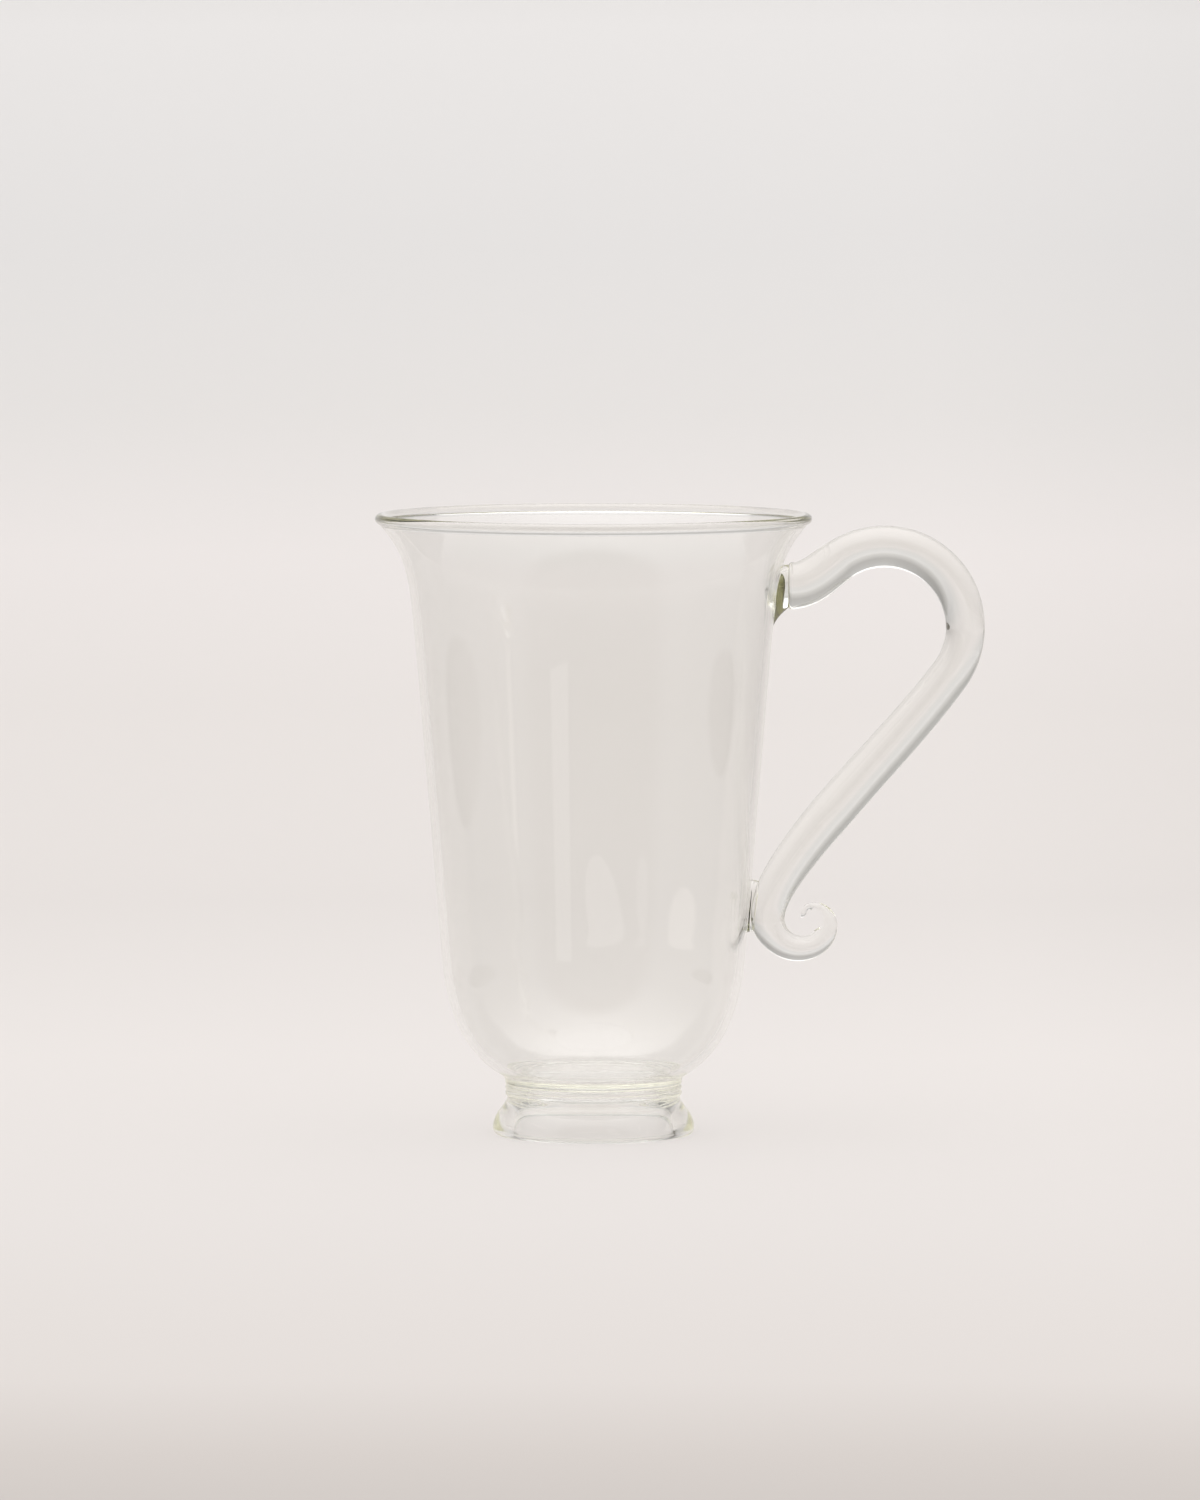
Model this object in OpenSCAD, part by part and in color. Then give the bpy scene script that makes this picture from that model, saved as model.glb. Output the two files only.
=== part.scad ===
// Footed glass mug with a crook-and-scroll handle, in millimetres.
// The origin is the middle of the foot's resting circle, on the mug's own axis.
// +Z points up to the rim and +X points to the handle.

/* [Bowl] */
// Diameter over the fire-polished bead of the rim
rim_d = 91.2; // [86:0.4:96]
// Height of the whole mug, from the table to the top of the rim
mug_h = 130; // [123:1:137]
// Thickness of the blown wall
wall_t = 1.6; // [1.2:0.1:2]
// Thickness of the bead that closes the rim
bead_d = 2.2; // [2.1:0.1:3]
// Lean of the wall off the vertical where it enters the bead, in degrees
flare_angle = 38; // [30:1:46]
// Outer diameter at the waist, where the flare begins
waist_d = 72.4; // [69:0.2:76]
// Depth of the waist below the rim's top
waist_drop = 39; // [34:1:46]
// Outer diameter at the belly, where the round bottom ends
belly_d = 63.8; // [60:0.2:66]
// Height of the belly above the bowl's seat on the neck ring
belly_rise = 28.5; // [24:0.5:34]
// Lean of the round bottom off the vertical just above the neck, in degrees
bottom_angle = 60; // [52:1:66]
// Thickness of the glass at the middle of the bowl's floor
floor_t = 2.4; // [1.8:0.1:2.8]

/* [Neck ring] */
// Diameter over the ridges of the neck ring
neck_d = 37; // [34:0.5:39]
// Height of the neck ring
neck_h = 2.4; // [2:0.1:4]
// Number of ridges tooled into the neck ring
ridge_count = 2; // [1:1:3]
// Depth of the grooves between the ridges
groove_depth = 0.45; // [0.2:0.05:0.6]
// Radius of the hollow fillet from the neck up to the round bottom
neck_fillet_r = 1.75; // [1:0.25:2.5]

/* [Foot] */
// Diameter of the foot over its lip
foot_d = 42.2; // [39:0.2:46]
// Height of the foot, up to the neck ring
foot_h = 8.1; // [7:0.1:11]
// Thickness of the foot's wall at the neck
foot_wall_t = 4.3; // [3:0.1:5.5]
// Thickness of the foot's lip
lip_t = 4.3; // [3:0.1:5.5]
// Radius of the lip's outer edge where it meets the table
lip_r = 1.3; // [0.8:0.1:1.6]

/* [Handle] */
// Diameter of the drawn rod
rod_d = 8.8; // [7:0.2:10]
// Radius of the crook, on the rod's middle line
crook_r = 16.9; // [15:0.1:19]
// Distance from the wall to the crook's centre
crook_reach = 23.2; // [21:0.2:27]
// Depth of the crook's centre below the rim's top
crook_drop = 23.8; // [21:0.2:27]
// Rise of the rod where it enters the crook, in degrees
crook_entry = 32; // [25:1:42]
// Depth of the upper weld's centre below the rim's top
weld_drop = 15.1; // [14:0.1:18]
// Lean of the slope off the vertical where it leaves the crook, in degrees
slope_lean = 36; // [32:1:39]
// Height of the scroll's centre above the table
scroll_z = 45.2; // [41:0.2:50]
// Radius of the scroll where it starts, on the rod's middle line
scroll_r = 8; // [7:0.1:9]
// Radius of the scroll at its tip, on the rod's middle line
scroll_tip_r = 1.45; // [1.2:0.05:2]
// How far the scroll winds, in degrees
scroll_turn = 300; // [280:5:330]

/* [Welds] */
// Thickness of the upper weld's collar between wall and rod, at its centre
collar_t = 1.9; // [1.4:0.1:3]
// How far the collar spreads from the rod to the wall
collar_flare = 1.1; // [0.4:0.1:1.6]
// How far the collar hangs below the rod's middle line
collar_sag = 0.3; // [0.1:0.1:0.6]
// Length of the run of glass down the wall below the collar
run_l = 4; // [3:0.5:8]
// Radius of that run where it leaves the collar
run_r = 1.6; // [1:0.1:2.4]
// How far that run has thinned at its lower end, as a share of its radius
run_tip_share = 0.15; // [0.1:0.05:0.8]
// Least thickness of the lower weld between wall and rod
pad_t = 0.2; // [0.15:0.05:0.6]
// Height of the lower weld
pad_h = 10.5; // [6:0.5:12]
// Width of the lower weld
pad_w = 4.6; // [3:0.2:5.4]
// Height of the lower weld's middle above the scroll's centre
pad_rise = 2.6; // [1.6:0.2:4]

/* [Hidden] */
$fn = 96;
// Sides of the bowl where a thin weld is cut to its wall
weld_sides = 360;

// Curve steps of the outlines
long_steps = 16;
short_steps = 5;
bead_steps = 16;
// Sides of the swept rod, and rings along each stretch of it
rod_sides = 24;
end_rings = 4;
lead_rings = 7;
crook_rings = 24;
slope_rings = 12;
scroll_rings = 44;
tip_rings = 4;
// Rings of the scroll beside the lower weld
pad_rings = 8;

// Heights that the pieces share
seat_z = foot_h + neck_h;
neck_r = neck_d / 2;
core_r = neck_r - groove_depth;
waist_r = waist_d / 2;
waist_z = mug_h - waist_drop;
belly_r = belly_d / 2;
belly_z = seat_z + belly_rise;

// A point on a cubic curve with the control points p
function cubic(p, t) =
    pow(1 - t, 3) * p[0] + 3 * pow(1 - t, 2) * t * p[1] + 3 * (1 - t) * t * t * p[2] + pow(t, 3) * p[3];

// The points of a cubic curve, with its last one but not its first
function cubic_points(p, steps) = [for (i = [1:steps]) cubic(p, i / steps)];

// A direction in a plane, given by its angle off the first axis
function turned(angle) = [cos(angle), sin(angle)];

// A direction in an outline, given by its lean off the vertical
function leaning(angle) = [sin(angle), cos(angle)];

// The direction at right angles to d, turned to the outside of the wall
function outward(d) = [d.y, -d.x];

// Points on an arc about the centre c
function arc_points(c, r, from, to, steps) =
    [for (i = [0:steps]) c + r * turned(from + (to - from) * i / steps)];

// A list of points without its first one
function rest_of(list) = [for (i = [1:len(list) - 1]) list[i]];

// The same list from its last point to its first
function backwards(list) = [for (i = [len(list) - 1:-1:0]) list[i]];

// The direction of a list of points at point i, by its neighbours
function heading(list, i) =
    let (a = list[max(i - 1, 0)], b = list[min(i + 1, len(list) - 1)])
    (b - a) / norm(b - a);

// Bowl outline
wall_lean = atan((waist_r - belly_r) / (waist_z - belly_z));
bead_r = bead_d / 2;
bead_centre = [rim_d / 2 - bead_r, mug_h - bead_r];
rim_dir = leaning(flare_angle);
rim_out = outward(rim_dir);
// Angle on the bead between its middle plane and the faces of the wall
bead_bite = acos(wall_t / 2 / bead_r);
bead_start = -flare_angle - bead_bite;
bead_end = 180 - flare_angle + bead_bite;
bead = arc_points(bead_centre, bead_r, bead_start, bead_end, bead_steps);

// The seat's small round, the hollow fillet and the point where the round bottom begins
seat_round_share = 0.28;
seat_round = neck_fillet_r * seat_round_share;
seat_edge = arc_points([neck_r - seat_round, seat_z + seat_round], seat_round, -90, 0, short_steps);
fillet_z = seat_z + seat_round;
fillet = arc_points([neck_r + neck_fillet_r, fillet_z], neck_fillet_r, 180, 180 - bottom_angle, short_steps);
bottom_start = fillet[short_steps];

// How strongly each end of the two long curves pulls, as shares of the curve's rise
bottom_pull_share = 0.47;
belly_pull_share = 0.26;
waist_pull_share = 0.78;
flare_pull_share = 0.26;
bottom_rise = belly_z - bottom_start.y;
flare_rise = bead[0].y - waist_z;
bottom_curve = cubic_points([
    bottom_start,
    bottom_start + bottom_pull_share * bottom_rise * leaning(bottom_angle),
    [belly_r, belly_z] - belly_pull_share * bottom_rise * leaning(wall_lean),
    [belly_r, belly_z]
], long_steps);
flare_curve = cubic_points([
    [waist_r, waist_z],
    [waist_r, waist_z] + waist_pull_share * flare_rise * leaning(wall_lean),
    bead[0] - flare_pull_share * flare_rise * rim_dir,
    bead[0]
], long_steps);
shell = concat([bottom_start], bottom_curve, [[waist_r, waist_z]], flare_curve);
outer_wall = concat(seat_edge, rest_of(fillet), rest_of(shell));

// The inner wall follows the shell at the wall's thickness, then rounds off into the floor
last_shell = len(shell) - 1;
inner_wall = [for (i = [0:last_shell - 1])
    shell[i] - wall_t * outward(i == 0 ? leaning(bottom_angle) : heading(shell, i))];
floor_z = seat_z + floor_t;
floor_round = (inner_wall[0].y - floor_z) / (1 - sin(bottom_angle));
floor_edge = arc_points(
    [inner_wall[0].x - floor_round * cos(bottom_angle), floor_z + floor_round],
    floor_round, -90, -bottom_angle, short_steps);

// Outer radius of the bowl at a height
wall_at = [for (p = shell) [p.y, p.x]];
function wall_r(z) = lookup(z, wall_at);

// Foot outline
foot_r = foot_d / 2;
foot_flare_share = 0.29;
foot_lip_share = 0.5;
foot_drop = foot_h - lip_r;
foot_side = cubic_points([
    [core_r, foot_h],
    [core_r, foot_h - foot_flare_share * foot_drop],
    [foot_r, lip_r + foot_lip_share * foot_drop],
    [foot_r, lip_r]
], long_steps);
hollow_r = foot_r - lip_t;
bore_r = core_r - foot_wall_t;
hollow_round_share = 0.2;
hollow_round = lip_t * hollow_round_share;
hollow_rise = foot_h - hollow_round;
hollow_side = cubic_points([
    [hollow_r, hollow_round],
    [hollow_r, hollow_round + (1 - foot_lip_share) * hollow_rise],
    [bore_r, foot_h - foot_flare_share * hollow_rise],
    [bore_r, foot_h]
], long_steps);

// Handle path, in the plane of the mug's axis: x away from the axis, y up
rod_r = rod_d / 2;
crook_z = mug_h - crook_drop;
crook_c = [wall_r(crook_z) + crook_reach, crook_z];
weld_z = mug_h - weld_drop;
face_x = wall_r(weld_z) + collar_t;
face = [face_x, weld_z];
crook_start = 90 + crook_entry;
crook_end = -slope_lean;
crook_in = crook_c + crook_r * turned(crook_start);
crook_out = crook_c + crook_r * turned(crook_end);
// Pulls of the short curve from the weld into the crook, as shares of its length
lead_pull_share = 0.38;
entry_dir = turned(crook_entry);

// The rod's end swells from its flat face to its full thickness at the weld, over a round
end_thick_share = 0.88;
weld_thick_share = 1.125;
end_round_share = 0.22;
end_round = rod_r * end_round_share;
// Thickness of the collar at its face, as a share of the rod's
collar_thick_share = 1.08;
lead_start = face + [end_round, 0];
lead_l = crook_in.x - lead_start.x;

// Thickness of the rod as shares of its diameter: round the crook, down the slope and along the scroll
crook_shares = [[0, 1], [0.35, 0.99], [0.6, 0.95], [0.8, 0.914], [1, 0.9625]];
slope_shares = [[0, 0.9625], [0.5, 1.043], [1, 0.8]];
scroll_shares = [
    [0, 0.8], [0.12, 0.665], [0.27, 0.58], [0.42, 0.52], [0.57, 0.453],
    [0.68, 0.286], [0.76, 0.208], [0.84, 0.14], [0.93, 0.182], [1, 0.209]
];
// Width over which neighbouring thicknesses are blended
blend_share = 0.03;
function blended(s, shares) =
    (lookup(s - blend_share, shares) + 2 * lookup(s, shares) + lookup(s + blend_share, shares)) / 4;

// Scroll: an even spiral that starts against the wall, where the rod is as thick as the touch share says
scroll_start = 188;
touch_share = 0.875;
scroll_x = wall_r(scroll_z) + (pad_t + rod_r * touch_share + scroll_r) / cos(wall_lean);
scroll_c = [scroll_x, scroll_z];
scroll_loss = scroll_r - scroll_tip_r;
function scroll_at(s) = scroll_c + (scroll_r - scroll_loss * s) * turned(scroll_start + scroll_turn * s);

// Slope: one long curve from the crook's end to the scroll's start, with its pulls as shares of the distance
slope_pull_share = 0.335;
bend_pull_share = 0.16;
slope_dir = turned(crook_end - 90);
scroll_dir = turned(scroll_start + 90 + atan(scroll_loss / scroll_r / (scroll_turn * PI / 180)));
slope_l = norm(scroll_at(0) - crook_out);

// Stations along the rod: [place, thickness share]
end_stations = [for (i = [0:end_rings - 1])
    let (a = 90 * i / end_rings)
    [face + end_round * [1 - cos(a), 0], end_thick_share + (weld_thick_share - end_thick_share) * sin(a)]];
lead_stations = [for (i = [0:lead_rings - 1])
    let (t = i / lead_rings)
    [cubic([
        lead_start,
        lead_start + [lead_pull_share * lead_l, 0],
        crook_in - lead_pull_share * lead_l * entry_dir,
        crook_in
    ], t), weld_thick_share + (1 - weld_thick_share) * t]];
crook_stations = [for (i = [0:crook_rings - 1])
    let (t = i / crook_rings)
    [crook_c + crook_r * turned(crook_start + (crook_end - crook_start) * t), blended(t, crook_shares)]];
slope_stations = [for (i = [0:slope_rings - 1])
    let (t = i / slope_rings)
    [cubic([
        crook_out,
        crook_out + slope_pull_share * slope_l * slope_dir,
        scroll_at(0) - bend_pull_share * slope_l * scroll_dir,
        scroll_at(0)
    ], t), blended(t, slope_shares)]];
scroll_stations = [for (i = [0:scroll_rings]) [scroll_at(i / scroll_rings), blended(i / scroll_rings, scroll_shares)]];
// The tip closes as a round drop
tip_dir = turned(scroll_start + scroll_turn + 90 + atan(scroll_loss / scroll_tip_r / (scroll_turn * PI / 180)));
tip_thick = blended(1, scroll_shares);
tip_stations = [for (i = [1:tip_rings])
    let (a = 90 * i / (tip_rings + 1))
    [scroll_at(1) + rod_r * tip_thick * sin(a) * tip_dir, tip_thick * cos(a)]];
rod_stations = concat(end_stations, lead_stations, crook_stations, slope_stations, scroll_stations, tip_stations);
rod_places = [for (s = rod_stations) s[0]];
last_station = len(rod_stations) - 1;
rod_tip = scroll_at(1) + rod_r * tip_thick * tip_dir;

// One ring of the rod; the first stands upright, against the collar's face
function rod_ring(i) =
    let (d = i == 0 ? [1, 0] : heading(rod_places, i), n = [-d.y, d.x], c = rod_places[i],
        r = rod_r * rod_stations[i][1])
    [for (k = [0:rod_sides - 1])
        let (a = 360 * k / rod_sides, q = c + r * cos(a) * n)
        [q.x, r * sin(a), q.y]];

// The rod between two stations, closed at both ends
module rod_piece(first, last) {
    rings = [for (i = [first:last]) each rod_ring(i)];
    count = last - first;
    sides = [for (i = [0:count - 1]) for (k = [0:rod_sides - 1])
        let (a = i * rod_sides + k, b = i * rod_sides + (k + 1) % rod_sides)
        each [[a, b, b + rod_sides], [a, b + rod_sides, a + rod_sides]]];
    start = [for (k = [rod_sides - 1:-1:0]) k];
    ends_in_tip = last == last_station;
    tip = [for (k = [0:rod_sides - 1])
        [count * rod_sides + k, count * rod_sides + (k + 1) % rod_sides, len(rings)]];
    flat = [[for (k = [0:rod_sides - 1]) count * rod_sides + k]];
    polyhedron(
        ends_in_tip ? concat(rings, [[rod_tip.x, 0, rod_tip.y]]) : rings,
        concat([start], sides, ends_in_tip ? tip : flat));
}

// Everything inside the bowl's outer face
module bowl_envelope() {
    rotate_extrude()
        polygon(concat([[0, seat_z]], outer_wall, rest_of(bead), [[0, bead[bead_steps].y]]));
}

// Blown bowl with its flared mouth and the bead round the rim
module bowl() {
    color([0.86, 0.89, 0.85, 0.45])
        rotate_extrude()
            polygon(concat(
                [[0, seat_z]],
                outer_wall,
                rest_of(bead),
                backwards(inner_wall),
                rest_of(backwards(floor_edge)),
                [[0, floor_z]]));
}

// Sealing wrap between bowl and foot, tooled into ridges and open to the hollow of the foot
module neck_ring() {
    pitch = neck_h / ridge_count;
    bulge_r = (pow(pitch / 2, 2) + pow(groove_depth, 2)) / (2 * groove_depth);
    half = asin(pitch / 2 / bulge_r);
    ridges = [for (i = [0:ridge_count - 1])
        each arc_points([neck_r - bulge_r, foot_h + pitch * (i + 0.5)], bulge_r, -half, half, short_steps)];
    color([0.82, 0.87, 0.8, 0.5])
        rotate_extrude()
            polygon(concat([[bore_r, foot_h]], ridges, [[bore_r, seat_z]]));
}

// Flared foot: a heavy tube with a round lip, whose bore the bowl closes
module foot() {
    color([0.84, 0.88, 0.82, 0.5])
        rotate_extrude()
            polygon(concat(
                [[core_r, foot_h]],
                foot_side,
                rest_of(arc_points([foot_r - lip_r, lip_r], lip_r, 0, -90, short_steps)),
                arc_points([hollow_r + hollow_round, hollow_round], hollow_round, -90, -180, short_steps),
                hollow_side));
}

// Solid rod: crook, slope and scroll with its drop
module handle() {
    color([0.9, 0.91, 0.89, 0.6])
        rod_piece(0, last_station);
}

// Collar between the wall and the rod's upper end, with the run of glass below it
module upper_weld() {
    back_x = wall_r(weld_z) - wall_t;
    collar_l = face_x - back_x;
    collar_r = rod_r * collar_thick_share;
    collar_z = weld_z - collar_sag;
    run_top = collar_z - rod_r;
    run_lean = atan((wall_r(run_top) - wall_r(run_top - run_l)) / run_l);
    color([0.6, 0.68, 0.52, 0.8])
        difference() {
            union() {
                translate([back_x, 0, collar_z])
                    rotate([0, 90, 0])
                        cylinder(h = collar_l, r1 = collar_r + collar_flare * collar_l / collar_t, r2 = collar_r);
                translate([wall_r(run_top), 0, run_top])
                    rotate([0, 180 + run_lean, 0])
                        cylinder(h = run_l, r1 = run_r, r2 = run_r * run_tip_share);
            }
            bowl_envelope($fn = weld_sides);
        }
}

// Thin pad where the rod touches the wall above the scroll
module lower_weld() {
    scroll_first = end_rings + lead_rings + crook_rings + slope_rings;
    first = scroll_first - slope_rings / 2;
    last = scroll_first + pad_rings;
    pad_z = scroll_z + pad_rise;
    color([0.7, 0.76, 0.64, 0.8])
        difference() {
            translate([wall_r(pad_z) - wall_t / 2, 0, pad_z])
                rotate([0, 90, 0])
                    linear_extrude(rod_r)
                        union() {
                            square([pad_h - pad_w, pad_w], center = true);
                            translate([(pad_h - pad_w) / 2, 0])
                                circle(d = pad_w);
                            translate([(pad_w - pad_h) / 2, 0])
                                circle(d = pad_w);
                        }
            bowl_envelope($fn = weld_sides);
            rod_piece(first, last);
        }
}

bowl();
neck_ring();
foot();
handle();
upper_weld();
lower_weld();
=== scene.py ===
"""Dresses the construction model of a footed glass mug.

It has a blown bowl, a tooled neck ring, a flared foot and a crook handle.
"""

import math

import bmesh
import bpy
from mathutils import Matrix, Vector


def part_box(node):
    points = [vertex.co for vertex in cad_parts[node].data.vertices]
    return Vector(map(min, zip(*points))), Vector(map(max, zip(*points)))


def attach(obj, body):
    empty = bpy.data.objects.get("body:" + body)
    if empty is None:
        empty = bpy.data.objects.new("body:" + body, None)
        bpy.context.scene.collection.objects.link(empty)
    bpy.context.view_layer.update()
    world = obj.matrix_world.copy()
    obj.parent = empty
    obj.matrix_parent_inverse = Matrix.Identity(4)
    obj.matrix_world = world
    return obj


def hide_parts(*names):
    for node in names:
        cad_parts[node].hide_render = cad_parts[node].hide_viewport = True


bl_info = {
    "name": "Footed Glass Mug",
    "version": (1, 0, 0),
    "blender": (4, 5, 0),
    "location": "View3D > Sidebar > Glass Mug",
    "description": "Models a clear blown mug with a crook handle over its construction model",
    "category": "Object",
}

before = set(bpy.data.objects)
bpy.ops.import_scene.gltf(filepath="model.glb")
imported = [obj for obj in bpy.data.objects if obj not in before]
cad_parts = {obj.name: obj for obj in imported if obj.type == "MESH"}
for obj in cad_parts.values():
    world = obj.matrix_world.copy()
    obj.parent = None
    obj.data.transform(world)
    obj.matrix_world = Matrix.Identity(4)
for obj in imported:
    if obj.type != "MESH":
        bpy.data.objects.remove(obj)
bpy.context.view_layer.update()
BOWL_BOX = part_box("bowl")
NECK_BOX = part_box("neck_ring")
FOOT_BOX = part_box("foot")

MM = 0.001
JOINT = "joint"  # corner attribute: 1 where a face is fused to its neighbour, 0 on open glass
SEAM = 0.01  # half of the gap, in mm, that keeps two fused faces apart for the ray tracer
TURNS = 192  # steps of a full spin
COLLAR_POINTS = 64  # points round the upper weld's outline
PAD_POINTS = 48  # points round the lower weld's outline
PAD_FLARE = 0.35  # how far the lower weld spreads at the wall, in mm
ROD_SIDES = 48  # points round the rod
MERGE = 0.0004  # vertices of a turned piece that are closer than this are one, in mm
LEVEL, FLUSH = 0.999, 0.005  # how upright a level face's normal is, and how near its height it lies, in mm
ON_WALL = 0.05  # how near the bowl's outside a corner lies that can be fused there, in mm
MARGIN = 2  # how far round a joint its edge is looked for, in mm

# Sizes


def length(name, description, default, low=0.0):
    """A size in metres that the sidebar shows as a length. default is in mm."""
    return bpy.props.FloatProperty(
        name=name,
        description=description,
        default=default * MM,
        min=low,
        unit="LENGTH",
        subtype="DISTANCE",
        precision=4,
    )


def angle(name, description, default):
    """An angle that the sidebar shows in degrees."""
    return bpy.props.FloatProperty(
        name=name,
        description=description,
        default=math.radians(default),
        unit="ROTATION",
        subtype="ANGLE",
    )


class BowlSizes(bpy.types.PropertyGroup):
    """Sizes of the blown bowl."""

    rim: length("Rim", "Diameter over the bead of the rim", 91.2)
    wall: length("Wall", "Thickness of the blown wall", 1.6)
    bead: length("Bead", "Thickness of the bead round the rim", 2.2)
    flare: angle("Flare", "Lean of the wall where it enters the bead", 38)
    waist: length("Waist", "Outer diameter where the flare begins", 72.4)
    waist_drop: length("Waist Drop", "Depth of the waist below the rim", 39)
    belly: length("Belly", "Outer diameter where the round bottom ends", 63.8)
    belly_rise: length("Belly Rise", "Height of the belly above the neck ring", 28.5)
    bottom: angle("Bottom", "Lean of the round bottom just above the neck", 60)
    floor: length("Floor", "Thickness of the glass at the middle of the floor", 2.4)
    fillet: length("Fillet", "Radius of the hollow between neck and bottom", 1.75)


class NeckSizes(bpy.types.PropertyGroup):
    """Sizes of the tooled neck ring."""

    width: length("Width", "Diameter over the ridges", 37)
    ridges: bpy.props.IntProperty(name="Ridges", description="Number of tooled ridges", default=2, min=1)
    groove: length("Groove", "Depth of the grooves between the ridges", 0.45)


class FootSizes(bpy.types.PropertyGroup):
    """Sizes of the flared foot."""

    width: length("Width", "Diameter over the lip", 42.2)
    wall: length("Wall", "Thickness of the foot's wall at the neck", 4.3)
    lip: length("Lip", "Thickness of the lip", 4.3)
    edge: length("Edge", "Radius of the lip's outer edge at the table", 1.3)


class HandleSizes(bpy.types.PropertyGroup):
    """Sizes of the drawn rod."""

    rod: length("Rod", "Diameter of the rod", 8.8)
    crook: length("Crook", "Radius of the crook on the rod's middle line", 16.9)
    reach: length("Reach", "Distance from the wall to the crook's centre", 23.2)
    drop: length("Drop", "Depth of the crook's centre below the rim", 23.8)
    entry: angle("Entry", "Rise of the rod where it enters the crook", 32)
    weld_drop: length("Weld Drop", "Depth of the upper weld below the rim", 15.1)
    slope: angle("Slope", "Lean of the slope where it leaves the crook", 36)
    scroll_height: length("Scroll Height", "Height of the scroll's centre", 45.2)
    scroll: length("Scroll", "Radius of the scroll where it starts", 8)
    scroll_tip: length("Scroll Tip", "Radius of the scroll at its tip", 1.45)
    scroll_turn: angle("Scroll Turn", "How far the scroll winds", 300)


class WeldSizes(bpy.types.PropertyGroup):
    """Sizes of the two welds."""

    collar: length("Collar", "Thickness of the upper weld between wall and rod", 1.9)
    spread: length("Spread", "Spread of the collar where it meets the wall", 1.5)
    sag: length("Sag", "How far the collar hangs below the rod's middle line", 0.3)
    run: length("Run", "Length of the run of glass below the collar", 4)
    pad: length("Pad", "Least thickness of the lower weld", 0.2)
    pad_height: length("Pad Height", "Height of the lower weld", 10.5)
    pad_width: length("Pad Width", "Width of the lower weld", 4.6)
    pad_rise: length("Pad Rise", "Height of the lower weld above the scroll's centre", 2.6)


class StudioColours(bpy.types.PropertyGroup):
    """Tint of the glass and colours of the studio."""

    surface: bpy.props.StringProperty(
        name="Surface",
        description="What each pair of surfaces lets through, as hex",
        default="FBFBFA",
    )
    tint: bpy.props.StringProperty(
        name="Tint",
        description="Colour that thick glass lets through, as hex",
        default="DDDCA8",
    )
    depth: bpy.props.FloatProperty(
        name="Depth",
        description="Strength of the tint per metre of glass",
        default=4.6,
    )
    paper: bpy.props.StringProperty(
        name="Paper",
        description="Colour of floor and backdrop, as hex",
        default="E7E2DF",
    )


GROUPS = {
    "mug_bowl": BowlSizes,
    "mug_neck": NeckSizes,
    "mug_foot": FootSizes,
    "mug_handle": HandleSizes,
    "mug_weld": WeldSizes,
    "mug_studio": StudioColours,
}


def sizes(group):
    """The sidebar's values of one group."""
    return getattr(bpy.context.scene, group)


# Outlines, in mm


def cubic(p0, p1, p2, p3, steps):
    """The points of a cubic curve, without its first one."""
    made = []
    for i in range(1, steps + 1):
        t = i / steps
        made.append(p0 * (1 - t) ** 3 + p1 * 3 * t * (1 - t) ** 2 + p2 * 3 * t * t * (1 - t) + p3 * t**3)
    return made


def arc(centre, radius, start, end, steps):
    """Points on an arc, with angles in degrees."""
    made = []
    for i in range(steps + 1):
        made.append(centre + radius * turned(start + (end - start) * i / steps))
    return made


def turned(degrees):
    """A direction in a plane, given by its angle off the first axis in degrees."""
    return Vector((math.cos(math.radians(degrees)), math.sin(math.radians(degrees))))


def leaning(radians):
    """A direction in an outline, given by its lean off the vertical."""
    return Vector((math.sin(radians), math.cos(radians)))


def outward(direction):
    """The direction at right angles to another, turned to the outside of the wall."""
    return Vector((direction.y, -direction.x))


def heading(points, i):
    """The direction of a list of points at one of them."""
    return (points[min(i + 1, len(points) - 1)] - points[max(i - 1, 0)]).normalized()


def lookup(x, table):
    """The value at x in a table of (x, value) pairs, along straight lines between them."""
    if x <= table[0][0]:
        return table[0][1]
    for (x0, y0), (x1, y1) in zip(table, table[1:]):
        if x <= x1:
            return y0 + (y1 - y0) * (x - x0) / (x1 - x0)
    return table[-1][1]


# How far the bowl's curves keep the direction of their ends, as shares of their rise
BOTTOM_PULL, BELLY_PULL = 0.47, 0.26
WAIST_PULL, FLARE_PULL = 0.78, 0.26
# The rounding of the bowl's edge over the neck ring, as a share of the hollow's radius
SEAT_ROUND = 0.28
BOWL_STEPS = {"seat": 8, "fillet": 16, "bottom": 40, "wall": 24, "flare": 48, "bead": 28, "floor": 12}


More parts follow.
